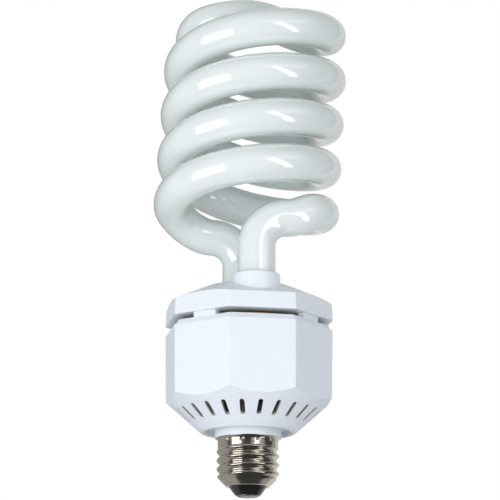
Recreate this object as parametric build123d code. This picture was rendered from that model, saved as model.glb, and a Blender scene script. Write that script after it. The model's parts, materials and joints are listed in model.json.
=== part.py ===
from build123d import *
import os
from math import atan2, ceil, cos, degrees, hypot, radians, sin, tan

# Large spiral compact fluorescent lamp with an eight-sided white ballast housing and a
# medium screw base. Millimetres. The origin is the tip of the centre contact, on the
# lamp's axis, with +Z up towards the glass. The flats of the housing face -Y, +X and so on.

# How far a cutting shape runs past a face, and how far fused shapes run into each other
cut_past = 1.0
overlap = 0.1

# Screw base
contact_radius = 4.6
contact_step = 0.4
contact_plate_height = 0.5
contact_dome_height = 0.4
contact_pocket_depth = 0.1
insulator_foot_wall = 0.6
insulator_top_radius = 7.85
insulator_flange_height = 1.6
insulator_clearance = 0.2
insulator_bore_radius = 1.6
shell_wall = 0.4
shell_foot_radius = 8.9
shell_foot_z = 4.4
shell_height = 19.9
shell_sleeve_radius = 12.5
shell_sleeve_height = 3.7
shell_rim_radius = 13.5
shell_rim_height = 1.1
rim_curl = 0.5
thread_crest_radius = 12.95
thread_root_radius = 11.75
thread_pitch = 3.63
thread_crest_angle = 169.8
thread_crest_rise = 10.75
thread_discs_per_turn = 12
crest_clearance = 1.0
stake_count = 12
stake_radius = 0.65
stake_depth = 0.28
stake_drop = 1.5
stake_turn = 8.0

# Housing
side_count = 8
plastic_wall = 1.8
edge_round = 1.2
neck_step = 0.2
neck_height = 2.4
spigot_clearance = 0.1
spigot_length = 3.6
neck_groove_depth = 2.2
neck_groove_wall = 1.5
cone_foot_radius = 19.6
cone_slope = 41.5
body_foot_corner = 35.15
body_top_corner = 35.8
body_height = 41.7
lip_height = 2.2
lip_step = 0.5
lip_top_corner = 33.9
lip_wall = 1.4
lip_undercut = 0.6
rib_width = 2.4
rib_reach = 4.6
rib_height = 8.0

# Vents in the cone
vent_count = 24
vent_width = 2.0
vent_inner_radius = 23.9
vent_outer_radius = 29.9

# Cap that carries the tube
cap_gap = 2.1
cap_foot_corner = 35.9
cap_top_corner = 35.55
cap_band_height = 6.8
roof_height = 7.3
roof_plateau_past_leg = 0.5
roof_wall = 2.0
roof_facet_inset = 0.4
cap_floor_wall = 1.2
cap_floor_bore_radius = 24.3
collar_wall = 1.25
collar_height = 2.8
collar_round = 1.2
latch_width = 10.8
latch_shoulder = 0.4
latch_post_inset = 0.1
latch_tongue_wall = 1.4
latch_clearance = 0.2
latch_hook = 0.9
latch_hook_height = 1.5
latch_hook_clearance = 0.1
latch_lead_in = 0.7

# Glass tube
tube_radius = 7.85
leg_offset = 19.0
leg_foot_clearance = 7.0
leg_bend_radius = 12.5
leg_bend_rise = 24.6
coil_radius = 31.6
strand_pitch = 40.1
coil_start_rise = 7.7
coil_turns = 1.9
coil_turn = -10.2
coil_lean = 3.8
coil_lean_heading = 16.7
coil_lean_rise = 17.1
bend_outer_reach = 9.5
bend_outer_inset = 1.4
bend_outer_rise = 3.0
cement_wall = 0.65
cement_top_drop = 0.5
cement_foot_drop = 1.0

# Bridge over the coil: inset from the coil's radius, place front to back, rise above the strands' ends
bridge_rise = 7.1
bridge_left = ((6.7, 0.0, 1.6), (18.5, -6.1, 3.7))
bridge_right = ((13.2, 8.2, 4.4), (2.2, 0.0, 0.0))

# Circuit board
board_thickness = 1.6
board_rise = 0.7
board_clearance = 0.4
board_notch_clearance = 0.3
hole_clearance = 0.15
lead_radius = 0.4
lead_proud = 1.2
lead_root = 1.0
solder_radius = 1.1
solder_height = 0.9
solder_rim = 0.15
solder_clearance = 0.03

# Parts on the board: places are (x, y) from the lamp's axis
smoothing_radius = 7.2
smoothing_length = 27.0
smoothing_round = 0.8
smoothing_groove_drop = 3.2
smoothing_groove_height = 1.0
smoothing_groove_depth = 0.5
smoothing_places = ((-8.6, 9.2), (8.6, 9.2))
smoothing_lead_spread = 5.0
choke_place = (0.0, -14.6)
choke_core_width = 25.0
choke_core_depth = 7.4
choke_core_height = 20.0
choke_leg_width = 7.4
choke_side_width = 3.4
choke_yoke_height = 3.4
choke_bobbin_wall = 0.8
choke_bobbin_clearance = 0.2
choke_core_clearance = 0.05
choke_flange_depth = 16.0
choke_flange_wall = 1.0
choke_winding_depth = 3.4
choke_winding_round = 2.0
choke_pin_radius = 0.4
choke_pin_spread = 12.0
choke_stand = 1.2
toroid_place = (0.0, 20.4)
toroid_radius = 4.6
toroid_bore_radius = 2.2
toroid_height = 4.0
toroid_wire_radius = 0.4
toroid_wire_clearance = 0.05
toroid_turns = 6
transistor_places = ((-20.4, 1.0), (20.4, 1.0))
transistor_width = 10.2
transistor_depth = 4.4
transistor_body = 9.0
transistor_bevel = 0.4
transistor_tab = 6.0
transistor_tab_wall = 1.3
transistor_hole_radius = 1.8
transistor_stand = 3.0
transistor_lead_spread = 2.54
film_size = (5.2, 11.0, 10.0)
film_places = ((-19.0, -11.2), (19.0, -11.2))
film_round = 1.2
film_lead_spread = 7.5
drum_place = (-10.6, 21.4)
drum_radius = 3.9
drum_core_radius = 2.0
drum_height = 9.0
drum_flange_wall = 1.2
drum_winding_inset = 0.4
drum_lead_spread = 4.0
diode_radius = 1.35
diode_length = 5.2
diode_bevel = 0.3
diode_places = ((-20.5, 9.0), (-18.2, 13.2), (-16.6, 17.2))
fuse_place = (8.6, 22.6)
fuse_radius = 1.9
fuse_length = 11.0
fuse_waist = 0.25
thermistor_place = (18.2, 14.4)
thermistor_radius = 3.9
thermistor_wall = 3.4
thermistor_round = 0.6
thermistor_lead_spread = 5.0
pin_offset = 9.0
pin_side = 0.8
pin_hole_clearance = 0.05
pin_collar_radius = 1.0
pin_collar_height = 0.5
pin_rise = 5.2
wrap_radius = 0.95
wrap_length = 2.4
wrap_drop = 0.8
lead_wire_radius = 0.25
lead_wire_inset = 3.0
lead_wire_bend = 1.5
lead_wire_lap = 0.2
mains_wire_radius = 0.8
neutral_wire_place = (-2.6, -2.6)
neutral_wire_bend = 4.0
neutral_notch_width = 2.4
neutral_wire_drop = 2.4
wire_end_clearance = 0.1

# Places worked out from the sizes above
half_side = 180 / side_count
flat_share = cos(radians(half_side))
foot_mitre = tan(radians(45 / 2))
contact_top_z = contact_dome_height + contact_plate_height
shell_seat_z = shell_foot_z + shell_wall
shell_top_z = shell_foot_z + shell_height
thread_end_z = shell_top_z - shell_sleeve_height
thread_crest_z = shell_foot_z + thread_crest_rise
sleeve_bore_radius = shell_sleeve_radius - shell_wall
spigot_radius = sleeve_bore_radius - spigot_clearance
neck_bore_radius = spigot_radius - plastic_wall
neck_radius = shell_rim_radius + neck_step
cone_foot_z = shell_top_z + neck_height
body_top_z = cone_foot_z + body_height
lip_top_z = body_top_z + lip_height
board_foot_z = lip_top_z + board_rise - board_thickness
board_top_z = lip_top_z + board_rise
cap_foot_z = lip_top_z + cap_gap
band_top_z = cap_foot_z + cap_band_height
plateau_z = band_top_z + roof_height
collar_top_z = plateau_z + collar_height
roof_plateau_radius = leg_offset + roof_plateau_past_leg
collar_bore_radius = tube_radius + cement_wall
collar_radius = collar_bore_radius + collar_wall
leg_foot_z = board_top_z + leg_foot_clearance
leg_bend_z = collar_top_z + leg_bend_rise
coil_start_z = leg_bend_z + coil_start_rise
coil_lean_z = coil_start_z + coil_lean_rise
lip_bore = lip_top_corner * flat_share - lip_wall
latch_outer = lip_bore - latch_clearance
latch_inner = latch_outer - latch_tongue_wall
board_radius = lip_bore - board_clearance
pin_hole_radius = hypot(pin_side, pin_side) / 2 + pin_hole_clearance
pin_places = [(x, y) for y in (-leg_offset, leg_offset) for x in (-pin_offset, pin_offset)]
neutral_wire_z = shell_top_z - neutral_wire_drop


def revolved(points):
    """Solid turned about the lamp's axis from (radius, height) points."""
    outline = Polyline(*[(r, 0, z) for r, z in points], close=True)
    return revolve(make_face(outline), Axis.Z)


def side_prism(corner_radius, z, rounding=edge_round):
    """Eight-sided outline at height z, flats facing -Y, with rounded corners."""
    outline = RegularPolygon(corner_radius, side_count, rotation=half_side)
    outline = fillet(outline.vertices(), rounding)
    return Pos(0, 0, z) * outline


def tapered_prism(foot_corner, foot_z, top_corner, top_z, rounding=edge_round):
    """Eight-sided solid between two outlines."""
    foot = side_prism(foot_corner, foot_z, rounding)
    return loft([foot, side_prism(top_corner, top_z, rounding)])


def rod(x, y, foot_z, top_z, radius):
    """Round bar standing along Z."""
    return Pos(x, y, (foot_z + top_z) / 2) * Cylinder(radius, top_z - foot_z)


def block(x, y, foot_z, top_z, width, depth):
    """Square bar standing along Z."""
    return Pos(x, y, (foot_z + top_z) / 2) * Box(width, depth, top_z - foot_z)


def centre_contact():
    """Soldered tip under the black insulator."""
    dome_radius = contact_radius - contact_step
    return revolved([
        (0, 0),
        (dome_radius - contact_dome_height, 0),
        (dome_radius, contact_dome_height),
        (contact_radius, contact_dome_height),
        (contact_radius, contact_top_z),
        (0, contact_top_z),
    ])


def base_insulator():
    """Black glass cone that fills the foot of the screw shell."""
    foot_radius = contact_radius + insulator_foot_wall
    foot_z = contact_top_z - contact_pocket_depth
    flange_radius = shell_foot_radius - shell_wall - insulator_clearance
    top_z = shell_seat_z + insulator_flange_height
    body = revolved([
        (0, foot_z),
        (foot_radius, foot_z),
        (insulator_top_radius, shell_foot_z),
        (insulator_top_radius, shell_seat_z),
        (flange_radius, shell_seat_z),
        (flange_radius + insulator_flange_height, top_z),
        (0, top_z),
    ])
    body -= rod(0, 0, 0, contact_top_z, contact_radius)
    return body - rod(0, 0, 0, top_z + cut_past, insulator_bore_radius)


def shell_envelope(inset):
    """Outer limits of the thread and the 45 degree cone below it, drawn in by inset."""
    sleeve = shell_sleeve_radius - inset
    crest = thread_crest_radius + crest_clearance - inset
    foot_z = shell_foot_z + inset
    foot_radius = shell_foot_radius - inset * foot_mitre
    return revolved([
        (0, foot_z),
        (foot_radius, foot_z),
        (crest, foot_z + crest - foot_radius),
        (crest, thread_end_z - crest + sleeve),
        (sleeve, thread_end_z),
        (0, thread_end_z),
    ])


def thread_body(inset):
    """Knuckle thread: off-centre discs that go round once for each pitch, joined by a loft."""
    mean_radius = (thread_crest_radius + thread_root_radius) / 2 - inset
    offset = (thread_crest_radius - thread_root_radius) / 2
    foot_z = shell_foot_z + inset
    height = thread_end_z - foot_z
    steps = ceil(thread_discs_per_turn * height / thread_pitch)
    discs = []
    for index in range(steps + 1):
        z = foot_z + height * index / steps
        turn = radians(thread_crest_angle + 360 * (z - thread_crest_z) / thread_pitch)
        discs.append(Pos(offset * cos(turn), offset * sin(turn), z) * Circle(mean_radius))
    return loft(discs)


def shell_skin(inset):
    """Thread, sleeve and rim as one solid, drawn in by inset."""
    sleeve = shell_sleeve_radius - inset
    rim = shell_rim_radius - inset
    run_out = sleeve - (thread_root_radius - inset)
    upper = revolved([
        (0, thread_end_z - run_out - rim_curl),
        (thread_root_radius - inset - rim_curl, thread_end_z - run_out - rim_curl),
        (sleeve, thread_end_z),
        (sleeve, shell_top_z - shell_rim_height),
        (rim - rim_curl, shell_top_z - rim_curl),
        (rim, shell_top_z),
        (0, shell_top_z),
    ])
    return (shell_envelope(inset) & thread_body(inset)) + upper


def screw_shell():
    """Thin metal screw shell with its rolled thread, open at the top."""
    shell = shell_skin(0) - shell_skin(shell_wall)
    shell -= rod(0, 0, shell_foot_z - cut_past, shell_seat_z + cut_past, insulator_top_radius)
    stake_z = shell_top_z - stake_drop
    reach = shell_sleeve_radius + stake_radius - stake_depth
    stake = Pos(reach, 0, stake_z) * Sphere(stake_radius)
    angles = [stake_turn + index * 360 / stake_count for index in range(stake_count)]
    return shell - [Rot(0, 0, angle) * stake for angle in angles]


def cone_z(radius):
    """Height of the housing's outer cone at a radius."""
    return cone_foot_z + (radius - cone_foot_radius) * tan(radians(cone_slope))


def housing_skin(inset):
    """Cone and eight-sided body as one solid, drawn in by inset."""
    drop = inset / cos(radians(cone_slope))
    wide = body_top_corner + cut_past
    cone = revolved([
        (0, cone_foot_z + drop),
        (cone_foot_radius, cone_foot_z + drop),
        (wide, cone_z(wide) + drop),
        (wide, body_top_z),
        (0, body_top_z),
    ])
    corner_inset = inset / flat_share
    foot_corner = body_foot_corner - corner_inset
    return cone & tapered_prism(foot_corner, cone_foot_z, body_top_corner - corner_inset, body_top_z)


def vent(angle):
    """One round-ended slot through the cone."""
    middle = (vent_inner_radius + vent_outer_radius) / 2
    length = (vent_outer_radius - vent_inner_radius) / cos(radians(cone_slope))
    slot = extrude(SlotOverall(length, vent_width), plastic_wall * 2 + cut_past, both=True)
    return Rot(0, 0, angle) * Pos(middle, 0, cone_z(middle)) * Rot(0, -cone_slope, 0) * slot


def housing():
    """Ballast housing: cone with vents, body, lip, neck and spigot."""
    shell = housing_skin(0)
    shell += tapered_prism(body_top_corner - lip_step, body_top_z - overlap, lip_top_corner, lip_top_z)
    neck_top_z = cone_foot_z + neck_groove_depth
    spigot_foot_z = shell_top_z - spigot_length
    shell -= rod(0, 0, cone_foot_z - cut_past, neck_top_z, cone_foot_radius - neck_groove_wall)
    shell += rod(0, 0, shell_top_z, neck_top_z + cut_past, neck_radius)
    shell += rod(0, 0, spigot_foot_z, shell_top_z, spigot_radius)

    floor_z = neck_top_z + plastic_wall
    width = body_top_corner * 2
    shell -= housing_skin(plastic_wall) & block(0, 0, floor_z, body_top_z, width, width)
    shelf_corner = body_top_corner - plastic_wall / 2
    shelf_foot_z = body_top_z - lip_undercut
    bore_corner = lip_bore / flat_share
    shell += tapered_prism(shelf_corner, shelf_foot_z, shelf_corner, body_top_z)
    shell -= tapered_prism(bore_corner, shelf_foot_z, bore_corner, lip_top_z)
    shell -= rod(0, 0, spigot_foot_z, floor_z + cut_past, neck_bore_radius)

    notch = Pos(spigot_radius / 2, 0, neutral_wire_z)
    notch *= Box(spigot_radius, neutral_notch_width, neutral_notch_width)
    x, y = neutral_wire_place
    shell -= Rot(0, 0, degrees(atan2(y, x))) * notch

    wall = body_top_corner * flat_share - plastic_wall / 2
    rib = block(wall - rib_reach / 2, 0, board_foot_z - rib_height, board_foot_z, rib_reach, rib_width)
    shell += [Rot(0, 0, quarter * 90) * rib for quarter in range(4)]
    return shell - [vent(index * 360 / vent_count) for index in range(vent_count)]


def roof(inset):
    """Low conical roof, cut flat above the front and rear faces, lowered by inset."""
    slope = roof_height / (cap_top_corner - roof_plateau_radius)
    wide = cap_top_corner + cut_past
    cone = revolved([
        (0, cap_foot_z),
        (wide, cap_foot_z),
        (wide, band_top_z - slope * cut_past - inset),
        (roof_plateau_radius, plateau_z - inset),
        (0, plateau_z - inset),
    ])
    flat = cap_top_corner * flat_share
    plateau_y = roof_plateau_radius - roof_facet_inset
    facet_slope = roof_height / (flat - plateau_y)
    eave_y = flat + cut_past
    eave_z = band_top_z - facet_slope * cut_past - inset
    profile = Polyline(
        (0, -eave_y, eave_z),
        (0, -plateau_y, plateau_z - inset),
        (0, plateau_y, plateau_z - inset),
        (0, eave_y, eave_z),
        (0, eave_y, cap_foot_z),
        (0, -eave_y, cap_foot_z),
        close=True,
    )
    return cone & extrude(make_face(profile), wide, both=True, dir=(1, 0, 0))


def latch():
    """Post and hooked tongue on one face, which stand on and under the lip."""
    post_outer = lip_top_corner * flat_share - latch_post_inset
    root_outer = cap_foot_corner * flat_share - plastic_wall / 2
    top_z = band_top_z - roof_wall + cut_past
    hook_top_z = body_top_z - lip_undercut - latch_hook_clearance
    hook_foot_z = hook_top_z - latch_hook_height
    tongue_width = latch_width - 2 * latch_shoulder
    hook_wall = latch_tongue_wall + latch_hook

    def bar(outer, foot_z, bar_top_z, width):
        return block((latch_inner + outer) / 2, 0, foot_z, bar_top_z, outer - latch_inner, width)

    hook = bar(latch_inner + hook_wall, hook_foot_z, hook_top_z, tongue_width)
    hook = chamfer(hook.edges().group_by(Axis.Z)[0].sort_by(Axis.X)[-1], latch_lead_in)
    tongue = bar(latch_outer, hook_foot_z, top_z, tongue_width)
    post = bar(post_outer, lip_top_z, top_z, latch_width)
    return tongue + post + bar(root_outer, cap_foot_z, top_z, latch_width) + hook


def tube_cap():
    """Cap with its roof, a ring-shaped floor, two collars for the tube and four latches."""
    floor_top_z = cap_foot_z + cap_floor_wall
    draft = (cap_top_corner - cap_foot_corner) * roof_height / cap_band_height
    crown_corner = cap_top_corner + draft
    band = tapered_prism(cap_foot_corner, cap_foot_z, crown_corner, plateau_z)
    cap = band & roof(0)
    collars = Part()
    bores = Part()
    for side in (-1, 1):
        collar = rod(0, side * leg_offset, band_top_z, collar_top_z, collar_radius)
        collars += fillet(collar.edges().group_by(Axis.Z)[-1], collar_round)
        bores += rod(0, side * leg_offset, floor_top_z, collar_top_z, collar_bore_radius)
    cap += collars

    wall_inset = plastic_wall / flat_share
    hollow = tapered_prism(cap_foot_corner - wall_inset, cap_foot_z, crown_corner - wall_inset, plateau_z)
    cap -= hollow & roof(roof_wall)
    floor = extrude(side_prism(cap_foot_corner - wall_inset / 2, cap_foot_z), cap_floor_wall)
    cap += floor - rod(0, 0, cap_foot_z - cut_past, floor_top_z + cut_past, cap_floor_bore_radius)
    cap += [Rot(0, 0, 45 + quarter * 90) * latch() for quarter in range(4)]
    return cap - bores


def lean_frame():
    """Location that tips the coil over about a point on the axis."""
    turn = Rot(0, 0, coil_lean_heading) * Rot(0, coil_lean, 0) * Rot(0, 0, -coil_lean_heading)
    return Pos(0, 0, coil_lean_z) * turn * Pos(0, 0, -coil_lean_z) * Rot(0, 0, coil_turn)


def coil_point(x, y, z):
    """Point given in the coil's own frame."""
    return (lean_frame() * Pos(x, y, z)).position


def strand(half_turn):
    """Helix of one strand, half_turn degrees round from the first."""
    path = Edge.make_helix(strand_pitch, strand_pitch * coil_turns, coil_radius)
    return lean_frame() * Rot(0, 0, half_turn) * Pos(0, 0, coil_start_z) * path


def leg_path(half_turn, helix):
    """Straight leg, bend and sweep outwards to the start of a helix."""
    place = Rot(0, 0, half_turn)
    bend_z = leg_bend_z - leg_bend_radius
    foot = (place * Pos(0, -leg_offset, leg_foot_z)).position
    knee = (place * Pos(0, -leg_offset, bend_z)).position
    middle = radians(90 / 2)
    mid_x = leg_bend_radius * (1 - cos(middle))
    bend_mid = (place * Pos(mid_x, -leg_offset, bend_z + leg_bend_radius * sin(middle))).position
    bend_end = (place * Pos(leg_bend_radius, -leg_offset, leg_bend_z)).position
    outer_x = leg_bend_radius + bend_outer_reach
    outer_y = leg_offset - bend_outer_inset
    outer = (place * Pos(outer_x, -outer_y, leg_bend_z + bend_outer_rise)).position
    heading = (place * Pos(1, 0, 0)).position
    leg = Edge.make_line(foot, knee)
    bend = Edge.make_three_point_arc(knee, bend_mid, bend_end)
    sweep_out = Edge.make_spline([bend_end, outer, helix @ 0], tangents=[heading, helix % 0], scale=False)
    return [leg, bend, sweep_out]


def glass_tube():
    """Sealed glass tube: two legs, two strands and the bridge over the top."""
    first = strand(0)
    second = strand(180)
    top_z = coil_start_z + strand_pitch * 2
    left = [coil_point(inset - coil_radius, y, top_z + rise) for inset, y, rise in bridge_left]
    right = [coil_point(coil_radius - inset, y, top_z + rise) for inset, y, rise in bridge_right]
    crown = coil_point(0, 0, top_z + bridge_rise)
    bridge = Edge.make_spline(
        [first @ 1, *reversed(right), crown, *reversed(left), second @ 1],
        tangents=[first % 1, (second % 1) * -1],
        scale=False,
    )
    edges = leg_path(0, first) + [first, bridge, second] + leg_path(180, second)
    path = Wire(edges)
    section = Plane((0, -leg_offset, leg_foot_z)) * Circle(tube_radius)
    print("tube path", round(path.length, 1), "mm, section times length", round(section.area * path.length))
    return sweep(section, path)


def tube_cement(side):
    """Ring of cement between one leg and its collar."""
    place_y = side * leg_offset
    foot_z = plateau_z - roof_wall - cement_foot_drop
    ring = rod(0, place_y, foot_z, collar_top_z - cement_top_drop, collar_bore_radius)
    return ring - rod(0, place_y, foot_z, collar_top_z, tube_radius)


def leads(places):
    """Tinned leads through the board, from the part below it."""
    bars = Part()
    for x, y, foot_z in places:
        bars += rod(x, y, foot_z, board_top_z + lead_proud, lead_radius)
    return bars


def lead_places():
    """Every (x, y) where a component lead passes through the board."""
    places = []
    for x, y in smoothing_places:
        places += [(x - smoothing_lead_spread / 2, y), (x + smoothing_lead_spread / 2, y)]
    x, y = choke_place
    for side_x in (-1, 1):
        for side_y in (-1, 1):
            places.append((x + side_x * choke_pin_spread / 2, y + side_y * choke_pin_spread / 2))
    x, y = toroid_place
    spread = toroid_radius + toroid_wire_radius
    places += [(x - spread, y), (x + spread, y)]
    for x, y in transistor_places:
        places += [(x, y + step * transistor_lead_spread) for step in (-1, 0, 1)]
    for x, y in film_places:
        places += [(x, y - film_lead_spread / 2), (x, y + film_lead_spread / 2)]
    x, y = drum_place
    places += [(x - drum_lead_spread / 2, y), (x + drum_lead_spread / 2, y)]
    places += list(diode_places)
    places.append(fuse_place)
    x, y = thermistor_place
    places += [(x, y - thermistor_lead_spread / 2), (x, y + thermistor_lead_spread / 2)]
    return places


def circuit_board():
    """Round board with notches for the latches and holes for leads, pins and wires."""
    board = rod(0, 0, board_foot_z, board_top_z, board_radius)
    notch_x = latch_inner - board_notch_clearance + board_radius / 2
    notch_width = latch_width + 2 * board_notch_clearance
    notch = block(notch_x, 0, board_foot_z, board_top_z, board_radius, notch_width)
    board -= [Rot(0, 0, 45 + quarter * 90) * notch for quarter in range(4)]
    holes = [rod(x, y, board_foot_z, board_top_z, lead_radius + hole_clearance) for x, y in lead_places()]
    holes += [rod(x, y, board_foot_z, board_top_z, pin_hole_radius) for x, y in pin_places]
    return board - holes


def solder_joints():
    """Solder round every lead on the upper side of the board."""
    joints = []
    bore = lead_radius + solder_clearance
    for x, y in lead_places():
        joint = revolved([
            (bore, board_top_z),
            (solder_radius, board_top_z),
            (bore + solder_rim, board_top_z + solder_height),
            (bore, board_top_z + solder_height),
        ])
        joints.append(Pos(x, y, 0) * joint)
    return Compound(children=joints)


def smoothing_capacitor(place):
    """Electrolytic can, hung under the board with its rolled groove near the top."""
    x, y = place
    foot_z = board_foot_z - smoothing_length
    can = rod(x, y, foot_z, board_foot_z, smoothing_radius)
    can = fillet(can.edges(), smoothing_round)
    groove_top_z = board_foot_z - smoothing_groove_drop
    groove_foot_z = groove_top_z - smoothing_groove_height
    can -= rod(x, y, groove_foot_z, groove_top_z, smoothing_radius)
    can += rod(x, y, groove_foot_z, groove_top_z, smoothing_radius - smoothing_groove_depth)
    spread = smoothing_lead_spread / 2
    root_z = board_foot_z - lead_root
    return can + leads([(x - spread, y, root_z), (x + spread, y, root_z)])


def choke_core(upper):
    """One E-shaped ferrite half of the choke."""
    x, y = choke_place
    top_z = board_foot_z - choke_stand
    foot_z = top_z - choke_core_height
    half = choke_core_height / 2
    core = block(x, y, foot_z, foot_z + half, choke_core_width, choke_core_depth)
    window = (choke_core_width - choke_leg_width) / 2 - choke_side_width
    for side in (-1, 1):
        window_x = x + side * (choke_leg_width + window) / 2
        core -= block(window_x, y, foot_z + choke_yoke_height, foot_z + half, window, choke_core_depth)
    if upper:
        return Pos(x, y, foot_z + half) * Rot(180, 0, 0) * Pos(-x, -y, -foot_z - half) * core
    return core


def choke_bobbin():
    """Moulded bobbin on the core's middle leg, with four pins into the board."""
    x, y = choke_place
    core_top_z = board_foot_z - choke_stand
    foot_z = core_top_z - choke_core_height + choke_yoke_height
    top_z = core_top_z - choke_yoke_height
    window = (choke_core_width - choke_leg_width) / 2 - choke_side_width
    flange_width = choke_leg_width + 2 * (window - choke_bobbin_clearance)
    tube_width = choke_leg_width + 2 * choke_bobbin_wall
    tube_depth = choke_core_depth + 2 * choke_bobbin_wall
    bobbin = block(x, y, foot_z, top_z, tube_width, tube_depth)
    bobbin += block(x, y, foot_z, foot_z + choke_flange_wall, flange_width, choke_flange_depth)
    bobbin += block(x, y, top_z - choke_flange_wall, top_z, flange_width, choke_flange_depth)
    foot_depth = (choke_flange_depth - choke_core_depth) / 2 - choke_bobbin_clearance
    for side in (-1, 1):
        foot_y = y + side * (choke_flange_depth - foot_depth) / 2
        bobbin += block(x, foot_y, top_z - choke_flange_wall, board_foot_z, flange_width, foot_depth)
    bore_width = choke_leg_width + 2 * choke_core_clearance
    bobbin -= block(x, y, foot_z, top_z, bore_width, choke_core_depth + 2 * choke_core_clearance)
    spread = choke_pin_spread / 2
    for side_x in (-1, 1):
        for side_y in (-1, 1):
            pin_x = x + side_x * spread
            pin_y = y + side_y * spread
            root_z = board_foot_z - lead_root
            bobbin += rod(pin_x, pin_y, root_z, board_top_z + lead_proud, choke_pin_radius)
    return bobbin


def choke_winding():
    """Wound copper as one ring round the bobbin."""
    x, y = choke_place
    core_top_z = board_foot_z - choke_stand
    foot_z = core_top_z - choke_core_height + choke_yoke_height + choke_flange_wall
    top_z = core_top_z - choke_yoke_height - choke_flange_wall
    tube_width = choke_leg_width + 2 * choke_bobbin_wall
    tube_depth = choke_core_depth + 2 * choke_bobbin_wall
    growth = 2 * choke_winding_depth
    outer = block(x, y, foot_z, top_z, tube_width + growth, tube_depth + growth)
    outer = fillet(outer.edges().filter_by(Axis.Z), choke_winding_round)
    return outer - block(x, y, foot_z, top_z, tube_width, tube_depth)


def drive_toroid():
    """Small ferrite ring flat under the board."""
    x, y = toroid_place
    top_z = board_foot_z - 2 * toroid_wire_radius
    ring = rod(x, y, top_z - toroid_height, top_z, toroid_radius)
    return ring - rod(x, y, top_z - toroid_height, top_z, toroid_bore_radius)


def toroid_winding():
    """Turns of insulated wire round the ring, with the ends in the board."""
    x, y = toroid_place
    top_z = board_foot_z - 2 * toroid_wire_radius
    wire = 2 * toroid_wire_radius
    middle = (toroid_radius + toroid_bore_radius) / 2
    width = toroid_radius - toroid_bore_radius + 2 * toroid_wire_clearance
    turns = Part()
    for index in range(toroid_turns):
        angle = index * 360 / toroid_turns
        loop = block(middle, 0, top_z - toroid_height - wire, board_foot_z, width + 2 * wire, wire)
        loop -= block(middle, 0, top_z - toroid_height, top_z, width, wire)
        turns += Pos(x, y, 0) * Rot(0, 0, angle) * loop
    band_z = top_z - toroid_height / 2
    band = rod(x, y, band_z - toroid_wire_radius, band_z + toroid_wire_radius, toroid_radius + wire)
    inner_radius = toroid_radius + toroid_wire_clearance
    band -= rod(x, y, band_z - toroid_wire_radius, band_z + toroid_wire_radius, inner_radius)
    turns += band
    spread = toroid_radius + toroid_wire_radius
    return turns + leads([(x - spread, y, band_z), (x + spread, y, band_z)])


def transistor(place):
    """Power transistor: moulded body, metal tab with its hole, three leads."""
    x, y = place
    side = 1 if x > 0 else -1
    body_top_z = board_foot_z - transistor_stand
    body_foot_z = body_top_z - transistor_body
    tab_foot_z = body_foot_z - transistor_tab
    body = block(x, y, body_foot_z, body_top_z, transistor_depth, transistor_width)
    body = chamfer(body.edges().filter_by(Axis.Z), transistor_bevel)
    tab_x = x + side * (transistor_depth - transistor_tab_wall) / 2
    tab = block(tab_x, y, tab_foot_z, body_foot_z + overlap, transistor_tab_wall, transistor_width)
    hole = Pos(tab_x, y, tab_foot_z + transistor_tab / 2) * Rot(0, 90, 0)
    hole *= Cylinder(transistor_hole_radius, transistor_depth)
    places = [(x, y + step * transistor_lead_spread, body_top_z - lead_root) for step in (-1, 0, 1)]
    return body + (tab - hole) + leads(places)


def film_capacitor(place):
    """Dipped film capacitor, hung under the board by two leads."""
    x, y = place
    width, depth, height = film_size
    body = block(x, y, board_foot_z - height, board_foot_z, width, depth)
    body = fillet(body.edges(), film_round)
    spread = film_lead_spread / 2
    root_z = board_foot_z - film_round - lead_root
    return body + leads([(x, y - spread, root_z), (x, y + spread, root_z)])


def line_choke_core():
    """Drum core of the mains filter choke."""
    x, y = drum_place
    foot_z = board_foot_z - drum_height
    core = rod(x, y, foot_z, board_foot_z, drum_core_radius)
    core += rod(x, y, foot_z, foot_z + drum_flange_wall, drum_radius)
    core += rod(x, y, board_foot_z - drum_flange_wall, board_foot_z, drum_radius)
    spread = drum_lead_spread / 2
    root_z = board_foot_z - lead_root
    return core + leads([(x - spread, y, root_z), (x + spread, y, root_z)])


def line_choke_winding():
    """Copper wound on the drum core."""
    x, y = drum_place
    foot_z = board_foot_z - drum_height + drum_flange_wall
    top_z = board_foot_z - drum_flange_wall
    outer = rod(x, y, foot_z, top_z, drum_radius - drum_winding_inset)
    return outer - rod(x, y, foot_z, top_z, drum_core_radius)


def rectifier_diodes():
    """Axial diodes standing under the board."""
    diodes = []
    for x, y in diode_places:
        body = rod(x, y, board_foot_z - diode_length, board_foot_z, diode_radius)
        body = chamfer(body.edges().group_by(Axis.Z)[0], diode_bevel)
        diodes.append(body + leads([(x, y, board_foot_z - lead_root)]))
    return Compound(children=diodes)


def fuse_resistor():
    """Wire-wound fusible resistor standing under the board."""
    x, y = fuse_place
    body = rod(x, y, board_foot_z - fuse_length, board_foot_z, fuse_radius)
    waist_foot_z = board_foot_z - fuse_length * 3 / 4
    waist_top_z = board_foot_z - fuse_length / 4
    body -= rod(x, y, waist_foot_z, waist_top_z, fuse_radius)
    body += rod(x, y, waist_foot_z, waist_top_z, fuse_radius - fuse_waist)
    return body + leads([(x, y, board_foot_z - lead_root)])


def thermistor():
    """Disc thermistor on edge under the board."""
    x, y = thermistor_place
    middle_z = board_foot_z - thermistor_radius
    disc = Pos(x, y, middle_z) * Rot(0, 90, 0) * Cylinder(thermistor_radius, thermistor_wall)
    disc = fillet(disc.edges(), thermistor_round)
    spread = thermistor_lead_spread / 2
    return disc + leads([(x, y - spread, middle_z), (x, y + spread, middle_z)])


def wrap_pin(place):
    """Square pin in the board for one lead wire of the tube."""
    x, y = place
    pin = block(x, y, board_foot_z, board_top_z + pin_rise, pin_side, pin_side)
    return pin + rod(x, y, board_top_z, board_top_z + pin_collar_height, pin_collar_radius)


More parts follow.
